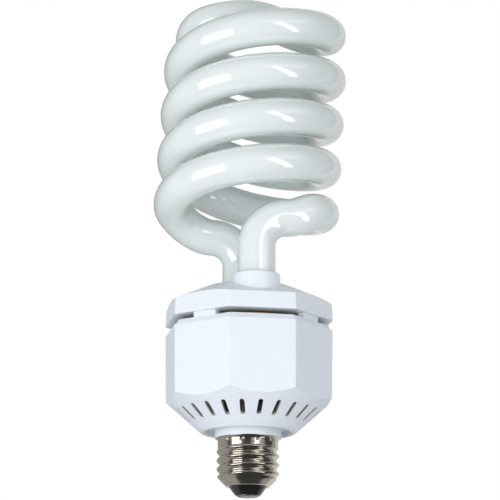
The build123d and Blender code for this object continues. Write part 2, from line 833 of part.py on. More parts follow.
def lead_wire(place):
    """Wire out of the end of one leg, wrapped on its pin."""
    x, y = place
    side = 1 if x > 0 else -1
    wrap_top_z = board_top_z + pin_rise - wrap_drop
    wrap = rod(x, y, wrap_top_z - wrap_length, wrap_top_z, wrap_radius)
    wrap -= block(x, y, wrap_top_z - wrap_length, wrap_top_z, pin_side, pin_side)
    start = (side * lead_wire_inset, y, leg_foot_z)
    joint_z = wrap_top_z - lead_wire_radius * 2
    corner = (side * lead_wire_inset, y, joint_z)
    end = (x - side * (wrap_radius - lead_wire_lap), y, joint_z)
    path = FilletPolyline(start, corner, end, radius=lead_wire_bend)
    wire = sweep(Plane(start, z_dir=(0, 0, -1)) * Circle(lead_wire_radius), path)
    return wire + wrap


def live_wire():
    """Insulated wire from the board to the centre contact."""
    return rod(0, 0, contact_top_z, board_foot_z, mains_wire_radius)


def neutral_wire():
    """Insulated wire from the board, bent out through the spigot to the shell."""
    x, y = neutral_wire_place
    start = (x, y, board_foot_z)
    corner = (x, y, neutral_wire_z)
    share = (sleeve_bore_radius - wire_end_clearance) / hypot(x, y)
    end = (x * share, y * share, neutral_wire_z)
    path = FilletPolyline(start, corner, end, radius=neutral_wire_bend)
    return sweep(Plane(start, z_dir=(0, 0, -1)) * Circle(mains_wire_radius), path)


def main():
    os.makedirs("parts", exist_ok=True)
    parts = {
        "glass_tube": glass_tube(),
        "tube_cement_front": tube_cement(-1),
        "tube_cement_rear": tube_cement(1),
        "tube_cap": tube_cap(),
        "housing": housing(),
        "screw_shell": screw_shell(),
        "base_insulator": base_insulator(),
        "centre_contact": centre_contact(),
        "circuit_board": circuit_board(),
        "solder_joints": solder_joints(),
        "smoothing_capacitor_left": smoothing_capacitor(smoothing_places[0]),
        "smoothing_capacitor_right": smoothing_capacitor(smoothing_places[1]),
        "choke_core_upper": choke_core(True),
        "choke_core_lower": choke_core(False),
        "choke_bobbin": choke_bobbin(),
        "choke_winding": choke_winding(),
        "drive_toroid": drive_toroid(),
        "toroid_winding": toroid_winding(),
        "transistor_left": transistor(transistor_places[0]),
        "transistor_right": transistor(transistor_places[1]),
        "resonance_capacitor": film_capacitor(film_places[0]),
        "coupling_capacitor": film_capacitor(film_places[1]),
        "line_choke_core": line_choke_core(),
        "line_choke_winding": line_choke_winding(),
        "rectifier_diodes": rectifier_diodes(),
        "fuse_resistor": fuse_resistor(),
        "thermistor": thermistor(),
        "live_wire": live_wire(),
        "neutral_wire": neutral_wire(),
    }
    for index, place in enumerate(pin_places):
        parts[f"wrap_pin_{index + 1}"] = wrap_pin(place)
        parts[f"lead_wire_{index + 1}"] = lead_wire(place)
    for name, shape in parts.items():
        export_step(shape, f"parts/{name}.step")


main()
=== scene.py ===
"""Looks of a large spiral compact fluorescent lamp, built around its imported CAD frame. Metres."""

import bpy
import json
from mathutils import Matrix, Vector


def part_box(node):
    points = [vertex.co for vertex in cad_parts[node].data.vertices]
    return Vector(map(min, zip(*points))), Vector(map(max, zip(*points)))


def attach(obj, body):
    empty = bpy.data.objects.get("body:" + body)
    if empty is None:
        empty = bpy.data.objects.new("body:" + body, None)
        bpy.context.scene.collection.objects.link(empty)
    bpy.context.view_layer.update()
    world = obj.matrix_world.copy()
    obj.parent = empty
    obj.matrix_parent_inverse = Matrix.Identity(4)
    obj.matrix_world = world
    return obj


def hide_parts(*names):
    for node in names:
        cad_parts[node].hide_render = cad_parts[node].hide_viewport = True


bl_info = {
    "name": "Spiral fluorescent lamp",
    "version": (1, 0, 0),
    "blender": (4, 5, 0),
    "location": "3D View > Sidebar > Lamp",
    "description": "Builds the coil, plastic housing, screw base and ballast of a spiral lamp",
    "category": "Object",
}

import json
from math import atan2, cos, exp, hypot, pi, radians, sin, tan

import bmesh
import bpy
import numpy as np
from bpy.props import FloatProperty, FloatVectorProperty, IntProperty, PointerProperty
from mathutils import Matrix, Vector

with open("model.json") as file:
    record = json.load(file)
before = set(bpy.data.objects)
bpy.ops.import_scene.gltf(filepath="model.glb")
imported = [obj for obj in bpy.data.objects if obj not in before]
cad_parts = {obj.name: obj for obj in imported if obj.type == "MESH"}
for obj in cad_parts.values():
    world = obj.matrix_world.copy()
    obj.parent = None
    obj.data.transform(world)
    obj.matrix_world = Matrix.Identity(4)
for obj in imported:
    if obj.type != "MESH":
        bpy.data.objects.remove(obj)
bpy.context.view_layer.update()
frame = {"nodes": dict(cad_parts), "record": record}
nodes = frame["nodes"]
slots = {row["node"]: row["material_slot"] for row in frame["record"]["subparts"]}
BODY = "root"
MM = 0.001

# Corners closer than this are one corner
WELD = 0.001 * MM
# Facets that turn by less than this are joined, and edges that turn by more are rounded
FLAT = radians(0.6)
SHARP = radians(25)

# Knots of the bridge over the coil: inset from the coil's radius, place front to back, and rise
# above two turns of a strand, in millimetres
BRIDGE_LEFT = ((6.7, 0.0, 1.6), (18.5, -6.1, 3.7))
BRIDGE_RIGHT = ((13.2, 8.2, 4.4), (2.2, 0.0, 0.0))
BRIDGE_TURNS = 2

# Places in the screw shell's raw mesh that mark which skin a corner belongs to
OUTSIDE, INSIDE, HOLE = 1.0, 0.5, 0.25

# Rounded edge of the soldered tip: share of its radius, and height in millimetres
TIP_EDGE = ((0.0, 0.0), (0.55, 0.02), (0.8, 0.16), (0.95, 0.42), (1.0, 0.62))
# Waves round the tip: count, height as a share of the ripple, and turn
TIP_WAVES = ((7, 1.0, 1.3), (17, 0.6, 0.4))

WHITE = (1.0, 1.0, 1.0)
# Slightly cool light of the softboxes
DAYLIGHT = (0.99, 1.0, 1.03)


def length(name, description, default, low=0.0):
    """Length property whose default is written in millimetres, and its lower limit in metres."""
    return FloatProperty(
        name=name, description=description, default=default * MM, min=low, unit="LENGTH"
    )


def angle(name, description, default):
    """Angle property whose default is written in degrees."""
    return FloatProperty(
        name=name, description=description, default=radians(default), unit="ROTATION"
    )


def number(name, description, default, low=0.0):
    return FloatProperty(name=name, description=description, default=default, min=low)


def count(name, description, default, low=3):
    return IntProperty(name=name, description=description, default=default, min=low)


def share(name, description, default, top=1.0):
    return FloatProperty(
        name=name, description=description, default=default, min=0.0, max=top, subtype="FACTOR"
    )


def colour(name, description, default):
    return FloatVectorProperty(
        name=name, description=description, default=default,
        size=3, min=0.0, max=1.0, subtype="COLOR",
    )


class TubeSettings(bpy.types.PropertyGroup):
    """Path and look of the glass tube."""

    radius: length("Tube radius", "Outer radius of the glass", 7.85)
    leg_offset: length("Leg offset", "Distance of each leg from the lamp's axis", 19.0)
    bend_radius: length("Bend radius", "Radius of the bend at the top of each leg", 12.5)
    bend_z: length("Bend height", "Height of the tube's centre after the bend", 114.2)
    sweep_reach: length("Sweep reach", "How far past the bend the sweep's middle lies", 9.5)
    sweep_inset: length("Sweep inset", "How far the sweep's middle lies inside the leg", 1.4)
    sweep_rise: length("Sweep rise", "Rise of the sweep's middle above the bend", 3.0)
    coil_radius: length("Coil radius", "Radius of the coil to the tube's centre", 31.6)
    coil_start_z: length("Coil start", "Height where the strands start", 121.9)
    strand_pitch: length("Strand pitch", "Rise of one strand in one turn", 40.1)
    turns: number("Turns", "Turns of each strand", 1.9, low=0.5)
    coil_turn: angle("Coil turn", "Turn of the whole coil about the axis", -10.2)
    lean: angle("Lean", "How far the coil leans", 3.8)
    lean_heading: angle("Lean heading", "Direction that the coil leans to", 16.7)
    lean_z: length("Lean height", "Height of the point that the coil leans about", 139.0)
    bridge_rise: length("Bridge rise", "Rise of the bridge's middle above two turns", 7.1)
    step: angle("Step", "Turn from one ring of the mesh to the next", 3.0)
    ring_steps: count("Ring steps", "How finely each ring of the mesh is cut", 11)
    coat: colour("Phosphor", "Milky coat inside the glass", (0.865, 0.925, 0.915))
    edge: colour("Glass edge", "Tint of the glass where it is seen edge on", (0.42, 0.50, 0.38))
    edge_power: number("Edge power", "How close to the outline that tint stays", 3.2)


class PlasticSettings(bpy.types.PropertyGroup):
    """Look of the housing and the cap."""

    white: colour("White", "Moulded plastic", (0.83, 0.88, 0.93))
    # The walls inside the vents are the same white plastic: this warm dark colour is painted shade
    vent_painted_shade: colour("Vent walls", "Painted warm shade of the walls inside the vents", (0.36, 0.31, 0.22))
    painted_shade_start: length("Shade start", "Depth under the cone's face where the painted shade starts", 0.35)
    painted_shade_full: length("Shade full", "Depth under the cone's face where the painted shade is full", 0.6)
    roughness: share("Roughness", "Roughness of the moulded surface", 0.38)
    edge_bevel: length("Edge bevel", "Rounding of the sharp edges", 0.18)
    vent_foot: length("Vent foot", "Radius where the vents start", 23.0)
    vent_top: length("Vent top", "Radius where the vents end", 31.0)
    vent_ceiling: length("Vent ceiling", "Height that the walls of the vents stay below", 40.0)
    cone_radius: length("Cone radius", "Radius of the foot of the housing's cone", 19.6)
    cone_z: length("Cone height", "Height of the foot of the housing's cone", 26.7)
    cone_slope: angle("Cone slope", "Slope of the housing's cone", 41.5)


class BaseSettings(bpy.types.PropertyGroup):
    """Shape and look of the screw base."""

    wall: length("Shell wall", "Thickness of the screw shell", 0.4)
    hole_radius: length("Shell hole", "Radius of the hole in the shell's foot", 7.85)
    foot_radius: length("Foot radius", "Radius of the flat at the shell's foot", 8.9)
    foot_blend: length("Foot blend", "Softness of the step from the foot to the thread", 0.35)
    crest_radius: length("Crest radius", "Radius of the thread's crests", 12.95)
    root_radius: length("Root radius", "Radius of the thread's roots", 11.75)
    pitch: length("Pitch", "Rise of one turn of the thread", 3.63)
    crest_angle: angle("Crest angle", "Direction in which a crest is at the crest height", 169.8)
    crest_z: length("Crest height", "Height of a crest in that direction", 15.15)
    run_out: length("Run-out", "Height over which the thread dies into the sleeve", 1.3)
    sleeve_radius: length("Sleeve radius", "Radius of the smooth sleeve", 12.5)
    sleeve_height: length("Sleeve height", "Height of the sleeve with its rim", 3.7)
    rim_radius: length("Rim radius", "Radius of the flared rim", 13.5)
    rim_height: length("Rim height", "Height of the flare", 1.1)
    flare_power: number("Flare power", "How late the flare opens", 1.6)
    stakes: count("Stakes", "Dimples that hold the shell", 12, low=1)
    stake_turn: angle("Stake turn", "Direction of the first dimple", 8.0)
    stake_drop: length("Stake drop", "Depth of the dimples below the rim", 1.5)
    stake_radius: length("Stake radius", "Radius of one dimple", 0.55)
    stake_depth: length("Stake depth", "Depth of one dimple", 0.35)
    rows: count("Rows", "Rows of the shell's mesh from its foot to its rim", 78)
    sides: count("Sides", "Sides of the shell's mesh", 300)
    insulator_bevel: length("Insulator bevel", "Rounding of the insulator's edges", 0.25)
    tip_sides: count("Tip sides", "Sides of the soldered tip's mesh", 96)
    ripple: length("Solder ripple", "Height of the waves in the solder", 0.035)
    nickel: colour("Nickel", "Plated metal", (0.66, 0.61, 0.53))
    black: colour("Insulator", "Black base glass", (0.012, 0.012, 0.014))
    solder: colour("Solder", "Dull grey solder", (0.36, 0.37, 0.37))


class BallastSettings(bpy.types.PropertyGroup):
    """Colours of the cement and of the parts inside the housing."""

    cement: colour("Cement", "Capping cement round the legs", (0.74, 0.74, 0.70))
    board_laminate: colour("Board", "Paper laminate of the board", (0.36, 0.24, 0.10))
    joint_solder: colour("Joint solder", "Solder under the board", (0.55, 0.55, 0.54))
    tinned_pin: colour("Tin", "Pins and lead wires", (0.62, 0.62, 0.60))
    ferrite: colour("Ferrite", "Cores of the chokes and the ring", (0.012, 0.012, 0.013))
    bobbin_plastic: colour("Bobbin", "Bobbin of the choke", (0.01, 0.01, 0.01))
    copper_wire: colour("Copper", "Enamelled wire of the chokes", (0.50, 0.17, 0.05))
    ring_wire: colour("Ring wire", "Wire of the ring transformer", (0.35, 0.02, 0.02))
    can_sleeve: colour("Can sleeve", "Sleeves of the smoothing capacitors", (0.012, 0.013, 0.020))
    moulded_epoxy: colour("Epoxy", "Transistors and diodes", (0.018, 0.018, 0.018))
    dipped_coat: colour("Dipped coat", "Film capacitors", (0.30, 0.035, 0.015))
    resistor_coat: colour("Resistor coat", "Fusible resistor", (0.03, 0.12, 0.09))
    disc_ceramic: colour("Disc", "Thermistor", (0.01, 0.04, 0.02))
    live_insulation: colour("Live wire", "Insulation of the live wire", (0.012, 0.012, 0.012))
    neutral_insulation: colour("Neutral wire", "Insulation of the neutral wire", (0.70, 0.70, 0.68))
    choke_wire: length("Choke wire", "Thickness of the choke's wire", 0.35)
    line_wire: length("Line choke wire", "Thickness of the line choke's wire", 0.45)


class StageSettings(bpy.types.PropertyGroup):
    """Camera, lamps, floor and background."""

    lens: number("Lens", "Focal length on a 36 mm sensor", 144.0, low=10.0)
    azimuth: angle("Azimuth", "Heading of the camera", -10.16)
    pitch: angle("Pitch", "How far the camera looks up", 14.24)
    roll: angle("Roll", "Roll of the camera", 0.16)
    distance: length("Distance", "Level distance from the lamp's axis", 818.65)
    height: length("Height", "Height of the camera", -103.1, low=-10.0)
    side_shift: length("Side shift", "Shift of the camera to its right", 0.59)
    aim_z: length("Aim", "Height that the softboxes are turned to", 150.0)
    floor_z: length("Floor", "Height of the floor", -620.0, low=-10.0)
    floor_size: length("Floor size", "Half the width of the floor", 6000.0)
    paper: colour("Paper", "Paper of the floor", (0.66, 0.66, 0.66))
    floor_glow: share("Floor glow", "Glow of the floor that the camera alone sees", 0.3)
    ambient: colour("Ambient", "Light from all round", (0.53, 0.54, 0.555))
    room: colour("Room", "What polished surfaces show towards the camera", (0.05, 0.052, 0.052))
    side: share("Side", "What polished surfaces show beside the lamp", 0.36)
    backdrop: share("Backdrop", "What polished surfaces show behind the lamp", 0.74)
    panel: share("Panel", "Soft panel high on the right for polished surfaces", 0.9, top=3.0)


class LampSettings(bpy.types.PropertyGroup):
    """All settings of the lamp."""

    tube: PointerProperty(type=TubeSettings)
    plastic: PointerProperty(type=PlasticSettings)
    base: PointerProperty(type=BaseSettings)
    ballast: PointerProperty(type=BallastSettings)
    stage: PointerProperty(type=StageSettings)


class NodeBuilder:
    """Adds nodes to one shader tree and links them."""

    def __init__(self, tree, space):
        self.tree = tree
        self.coords = self.node("ShaderNodeTexCoord").outputs[space]

    def feed(self, socket, source):
        """Link an output to a socket, or write a number, vector or colour on it."""
        if isinstance(source, bpy.types.NodeSocket):
            self.tree.links.new(source, socket)
        else:
            socket.default_value = (*source, 1.0) if socket.type == "RGBA" else source

    def node(self, kind, links=None, **settings):
        """New node with its settings, and with its inputs fed from {input: source}."""
        made = self.tree.nodes.new(kind)
        for key, value in settings.items():
            setattr(made, key, value)
        for socket, source in (links or {}).items():
            self.feed(made.inputs[socket], source)
        return made

    def math(self, operation, first, second=0.0):
        return self.node("ShaderNodeMath", {0: first, 1: second}, operation=operation).outputs[0]

    def product(self, first, *others):
        """All sources multiplied together."""
        for other in others:
            first = self.math("MULTIPLY", first, other)
        return first

    def span(self, value, low, high, out_low=0.0, out_high=1.0):
        """Value mapped from low..high to out_low..out_high, and held at the ends."""
        links = {
            "Value": value, "From Min": low, "From Max": high, "To Min": out_low, "To Max": out_high
        }
        return self.node("ShaderNodeMapRange", links).outputs["Result"]

    def mix(self, factor, first, second, clamp=True):
        """Blend of two colours."""
        links = {"Factor": factor, 6: first, 7: second}
        made = self.node("ShaderNodeMix", links, data_type="RGBA", clamp_factor=clamp)
        return made.outputs[2]

    def part(self, axis):
        """X, Y or Z of the coordinates."""
        return self.node("ShaderNodeSeparateXYZ", {0: self.coords}).outputs[axis]


class Finish(NodeBuilder):
    """Material built a step at a time round one Principled shader."""

    def __init__(self, name, **sockets):
        self.material = bpy.data.materials.new(name)
        self.material.use_nodes = True
        super().__init__(self.material.node_tree, "Object")
        self.shader = self.tree.nodes["Principled BSDF"]
        for socket, source in sockets.items():
            self.give(socket.replace("_", " "), source)

    def give(self, socket, source):
        """Feed one input of the shader."""
        self.feed(self.shader.inputs[socket], source)

    def noise(self, scale, detail=3.0):
        """Noise over the piece, with features 1 / scale metres across."""
        links = {"Vector": self.coords, "Scale": scale, "Detail": detail}
        return self.node("ShaderNodeTexNoise", links).outputs["Fac"]

    def speckle(self, base, change, scale):
        """Base colour, a little lighter and darker over the piece."""
        dark = [value * (1 - change) for value in base]
        light = [min(1.0, value * (1 + change)) for value in base]
        self.give("Base Color", self.mix(self.noise(scale), dark, light))

    def mottled(self, base, scale):
        """Pale base colour with faint darker clouds, as a colour to mix on."""
        return self.mix(self.noise(scale), [value * 0.985 for value in base], base)

    def rough(self, middle, spread, scale):
        """Roughness that wanders by spread about its middle."""
        value = self.span(self.noise(scale), 0.3, 0.7, middle - spread, middle + spread)
        self.give("Roughness", value)

    def bump(self, height, distance, strength):
        links = {"Height": height, "Distance": distance, "Strength": strength}
        self.give("Normal", self.node("ShaderNodeBump", links).outputs["Normal"])

    def radius(self):
        """Distance from the lamp's axis."""
        links = {0: self.coords, 1: (1.0, 1.0, 0.0)}
        flat = self.node("ShaderNodeVectorMath", links, operation="MULTIPLY").outputs[0]
        return self.node("ShaderNodeVectorMath", {0: flat}, operation="LENGTH").outputs["Value"]


def dress(node_name, material):
    """Give a CAD node its material."""
    piece = nodes[node_name]
    if piece.material_slots:
        piece.material_slots[0].material = material
    else:
        piece.data.materials.append(material)


def dress_slot(slot, material):
    """Give one material to every CAD node of a slot."""
    for node_name, own in slots.items():
        if own == slot:
            dress(node_name, material)


def stand_in(name, mesh, node_name, material):
    """Object for a finished mesh that is shown in place of a CAD node."""
    mesh.name = name
    mesh.materials.clear()
    mesh.materials.append(material)
    piece = bpy.data.objects.new(name, mesh)
    bpy.context.scene.collection.objects.link(piece)
    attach(piece, BODY)
    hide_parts(node_name)
    return piece


def mesh_from(form):
    """Mesh of a finished bmesh, which is freed."""
    mesh = bpy.data.meshes.new("form")
    form.to_mesh(mesh)
    form.free()
    return mesh


def turned(outline, steps):
    """Bmesh of a closed (radius, height) outline spun about the lamp's axis."""
    form = bmesh.new()
    corners = [form.verts.new((r, 0.0, z)) for r, z in outline]
    edges = [form.edges.new((a, b)) for a, b in zip(corners, corners[1:] + corners[:1])]
    bmesh.ops.spin(
        form, geom=corners + edges, cent=(0, 0, 0), axis=(0, 0, 1), angle=2 * pi, steps=steps,
        use_merge=True,
    )
    bmesh.ops.remove_doubles(form, verts=form.verts, dist=WELD)
    bmesh.ops.recalc_face_normals(form, faces=form.faces)
    for face in form.faces:
        face.smooth = True
    return form


def refined(node_name, bevel):
    """Merged copy of a CAD node's mesh, with its sharp edges rounded and smooth shading."""
    form = bmesh.new()
    form.from_mesh(nodes[node_name].data)
    bmesh.ops.remove_doubles(form, verts=form.verts, dist=2 * WELD)
    bmesh.ops.dissolve_limit(form, angle_limit=FLAT, verts=form.verts, edges=form.edges)
    crease = [edge for edge in form.edges if edge.is_manifold and edge.calc_face_angle(0.0) > SHARP]
    if bevel:
        bmesh.ops.bevel(
            form, geom=crease, offset=bevel, offset_type="OFFSET", segments=2, profile=0.5,
            affect="EDGES", clamp_overlap=True, material=-1,
        )
    for face in form.faces:
        face.smooth = True
    return mesh_from(form)


def shade_evenly(piece):
    """Shade a piece by its large faces, so that the rounded edges don't bend them."""
    modifier = piece.modifiers.new("Even shading", "WEIGHTED_NORMAL")
    modifier.keep_sharp = True
    return modifier


def spline_run(points, start_heading, end_heading, step):
    """Points about a step apart on a smooth curve with the given points and end headings."""
    points = np.array(points, float)
    gaps = np.linalg.norm(np.diff(points, axis=0), axis=1)
    matrix = np.eye(len(points))
    wanted = np.zeros((len(points), 3))
    wanted[0], wanted[-1] = start_heading, end_heading
    for i in range(1, len(points) - 1):
        before, after = gaps[i - 1], gaps[i]
        matrix[i, i - 1:i + 2] = after, 2 * (before + after), before
        slope_in = (points[i] - points[i - 1]) / before
        slope_out = (points[i + 1] - points[i]) / after
        wanted[i] = 3 * (after * slope_in + before * slope_out)
    headings = np.linalg.solve(matrix, wanted)
    run = []
    for i, gap in enumerate(gaps):
        steps = max(2, round(gap / step))
        for t in np.linspace(0, 1, steps, endpoint=False):
            run.append(
                (1 + 2 * t) * (1 - t) ** 2 * points[i] + t * (1 - t) ** 2 * gap * headings[i]
                + t * t * (3 - 2 * t) * points[i + 1] + t * t * (t - 1) * gap * headings[i + 1]
            )
    return [Vector(point) for point in (*run, points[-1])]


def coil_place(tube):
    """Matrix that leans and turns the coil."""
    lean = Matrix.Rotation(tube.lean_heading, 4, "Z") @ Matrix.Rotation(tube.lean, 4, "Y")
    lean = lean @ Matrix.Rotation(-tube.lean_heading, 4, "Z")
    about = Matrix.Translation((0, 0, tube.lean_z))
    return about @ lean @ about.inverted() @ Matrix.Rotation(tube.coil_turn, 4, "Z")


def strand_points(tube, half_turn):
    """Points up one strand of the coil."""
    place = coil_place(tube)
    steps = round(2 * pi * tube.turns / tube.step)
    points = []
    for i in range(steps + 1):
        turn = 2 * pi * tube.turns * i / steps
        z = tube.coil_start_z + tube.strand_pitch * turn / (2 * pi)
        x = tube.coil_radius * cos(turn + half_turn)
        y = tube.coil_radius * sin(turn + half_turn)
        points.append(place @ Vector((x, y, z)))
    return points


def leg_points(tube, half_turn, strand):
    """Points up one leg, round its bend and out to the foot of its strand."""
    place = Matrix.Rotation(half_turn, 4, "Z")
    y = -tube.leg_offset
    foot_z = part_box("glass_tube")[0].z
    knee_z = tube.bend_z - tube.bend_radius
    steps = round(pi / 2 / tube.step)
    points = [Vector((0, y, foot_z + (knee_z - foot_z) * i / steps)) for i in range(steps)]
    for i in range(steps):
        turn = pi / 2 * i / steps
        x = tube.bend_radius * (1 - cos(turn))
        points.append(Vector((x, y, knee_z + tube.bend_radius * sin(turn))))
    bend_end = place @ Vector((tube.bend_radius, y, tube.bend_z))
    reach = tube.bend_radius + tube.sweep_reach
    middle = place @ Vector((reach, y + tube.sweep_inset, tube.bend_z + tube.sweep_rise))
    leave = place @ Vector((1, 0, 0))
    arrive = (strand[1] - strand[0]).normalized()
    sweep = spline_run([bend_end, middle, strand[0]], leave, arrive, tube.coil_radius * tube.step)
    return [place @ point for point in points] + sweep[:-1]


def tube_points(tube):
    """The whole tube's centreline, from one leg's foot to the other's."""
    first = strand_points(tube, 0.0)
    second = strand_points(tube, pi)
    place = coil_place(tube)
    top_z = tube.coil_start_z + tube.strand_pitch * BRIDGE_TURNS

    def over(side, knot):
        inset, y, rise = (value * MM for value in knot)
        return place @ Vector((side * (tube.coil_radius - inset), y, top_z + rise))

    crown = place @ Vector((0, 0, top_z + tube.bridge_rise))
    knots = [first[-1], *[over(1, knot) for knot in reversed(BRIDGE_RIGHT)], crown]
    knots += [over(-1, knot) for knot in reversed(BRIDGE_LEFT)] + [second[-1]]
    leave = (first[-1] - first[-2]).normalized()
    arrive = (second[-2] - second[-1]).normalized()
    bridge = spline_run(knots, leave, arrive, tube.coil_radius * tube.step)
    points = leg_points(tube, 0.0, first) + first + bridge[1:-1]
    return points + second[::-1] + leg_points(tube, pi, second)[::-1]


def glass_material(tube):
    """Clear glass over a milky coat: white face on, greenish where the wall is seen edge on."""
    look = Finish(
        "milky glass", Roughness=0.06, Specular_IOR_Level=0.9,
        Coat_Weight=1.0, Coat_Roughness=0.01, Coat_IOR=1.6,
        Subsurface_Weight=0.6, Subsurface_Scale=0.007, Subsurface_Radius=(1.0, 1.0, 0.9),
    )
    facing = look.node("ShaderNodeLayerWeight", {"Blend": 0.5}).outputs["Facing"]
    edge = look.math("POWER", facing, tube.edge_power)
    look.give("Base Color", look.mix(edge, look.mottled(tube.coat, 60.0), tube.edge))
    look.bump(look.noise(45.0, 1.0), 0.2 * MM, 0.3)
    return look.material


def plastic_material(plastic):
    """Satin white moulded plastic, with painted shade, warm and dark, on the walls inside the
    vents.
    """
    look = Finish("white plastic", IOR=1.48, Subsurface_Weight=0.05, Subsurface_Scale=0.003)
    radius = look.radius()
    height = look.part("Z")
    past_foot = look.math("SUBTRACT", radius, plastic.cone_radius)
    cone = look.math("MULTIPLY", past_foot, tan(plastic.cone_slope))
    depth = look.math("SUBTRACT", look.math("SUBTRACT", height, plastic.cone_z), cone)
    # Mask of the walls inside the vents, under the cone's face, that get the painted shade
    vent_shade_mask = look.product(
        look.span(depth, plastic.painted_shade_start, plastic.painted_shade_full),
        look.span(radius, plastic.vent_foot, plastic.vent_foot + MM),
        look.span(radius, plastic.vent_top, plastic.vent_top - MM),
        look.span(height, plastic.vent_ceiling, plastic.vent_ceiling - 2 * MM),
    )
    white = look.mottled(plastic.white, 40.0)
    # Painted shade: the vent walls are drawn warm and dark instead of white
    look.give("Base Color", look.mix(vent_shade_mask, white, plastic.vent_painted_shade))
    look.rough(plastic.roughness, 0.04, 90.0)
    look.bump(look.noise(2600.0, 2.0), 0.03 * MM, 0.35)
    return look.material


def nickel_material(base):
    """Bright nickel plate with fine drawing marks and a few dull patches."""
    look = Finish("nickel plate", Metallic=1.0)
    look.speckle(base.nickel, 0.06, 220.0)
    look.rough(0.16, 0.06, 300.0)
    look.bump(look.noise(1400.0), 0.03 * MM, 0.35)
    return look.material


def black_glass_material(base):
    """Glossy black glass, a little uneven from its mould."""
    look = Finish("black base glass", Coat_Weight=0.5, Coat_Roughness=0.05)
    look.speckle(base.black, 0.3, 400.0)
    look.rough(0.14, 0.06, 260.0)
    look.bump(look.noise(240.0, 2.0), 0.12 * MM, 0.4)
    return look.material


def plain_material(
    name, base, roughness, metallic=0.0, grain=900.0, change=0.08, depth=0.02 * MM, shine=0.5
):
    """Finish for a small part: speckled colour, wandering roughness and a fine bump."""
    look = Finish(name, Metallic=metallic, Specular_IOR_Level=shine)
    look.speckle(base, change, grain / 4)
    look.rough(roughness, 0.06, grain / 3)
    look.bump(look.noise(grain), depth, 0.5)
    return look.material


def wound_material(name, base, wire):
    """Enamelled wire laid turn on turn up the lamp's axis: ridges one wire apart, with painted
    shade in the grooves between turns.
    """
    look = Finish(name, Metallic=0.85, Coat_Weight=0.6, Coat_Roughness=0.12)
    wave = look.math("SINE", look.math("MULTIPLY", look.part("Z"), pi / wire))
    ridge = look.math("ABSOLUTE", wave)
    # Painted shade: the wire's colour darkens to a third in the grooves between turns
    dark = [value * 0.35 for value in base]
    look.give("Base Color", look.mix(look.math("POWER", ridge, 0.5), dark, base))
    look.rough(0.3, 0.05, 500.0)
    look.bump(ridge, wire / 3, 0.8)
    return look.material


class PieceOperator:
    """Shared part of the lamp's operators."""

    bl_options = {"REGISTER", "UNDO"}

    def execute(self, context):
        self.build(context.scene.lamp)
        return {"FINISHED"}


class LAMP_OT_glass_tube(PieceOperator, bpy.types.Operator):
    """Builds the coiled glass tube along its centreline"""

    bl_idname = "lamp.glass_tube"
    bl_label = "Glass tube"

    def build(self, lamp):
        points = tube_points(lamp.tube)
        curve = bpy.data.curves.new("tube path", "CURVE")
        curve.dimensions = "3D"
        line = curve.splines.new("POLY")
        line.points.add(len(points) - 1)
        for knot, point in zip(line.points, points):
            knot.co = (*point, 1.0)
        curve.bevel_depth = lamp.tube.radius
        curve.bevel_resolution = lamp.tube.ring_steps
        curve.use_fill_caps = True
        path = bpy.data.objects.new("tube path", curve)
        mesh = bpy.data.meshes.new_from_object(path)
        bpy.data.objects.remove(path)
        bpy.data.curves.remove(curve)
        form = bmesh.new()
        form.from_mesh(mesh)
        bmesh.ops.remove_doubles(form, verts=form.verts, dist=WELD)
        for face in form.faces:
            face.smooth = len(face.verts) == 4
        form.to_mesh(mesh)
        form.free()
        stand_in("coiled_glass", mesh, "glass_tube", glass_material(lamp.tube))


class LAMP_OT_cement(PieceOperator, bpy.types.Operator):
    """Finishes the cement rings between the legs and the collars"""

    bl_idname = "lamp.cement"
    bl_label = "Cement rings"

    def build(self, lamp):
        cement = plain_material(
            "capping cement", lamp.ballast.cement, 0.85, grain=1500.0, depth=0.08 * MM
        )
        dress_slot("cement", cement)


class LAMP_OT_shells(PieceOperator, bpy.types.Operator):
    """Builds the smooth, edge-rounded housing and cap"""

    bl_idname = "lamp.shells"
    bl_label = "Housing and cap"

    def build(self, lamp):
        white = plastic_material(lamp.plastic)
        for name, node_name in (("moulded_housing", "housing"), ("moulded_cap", "tube_cap")):
            mesh = refined(node_name, lamp.plastic.edge_bevel)
            shade_evenly(stand_in(name, mesh, node_name, white)).weight = 100


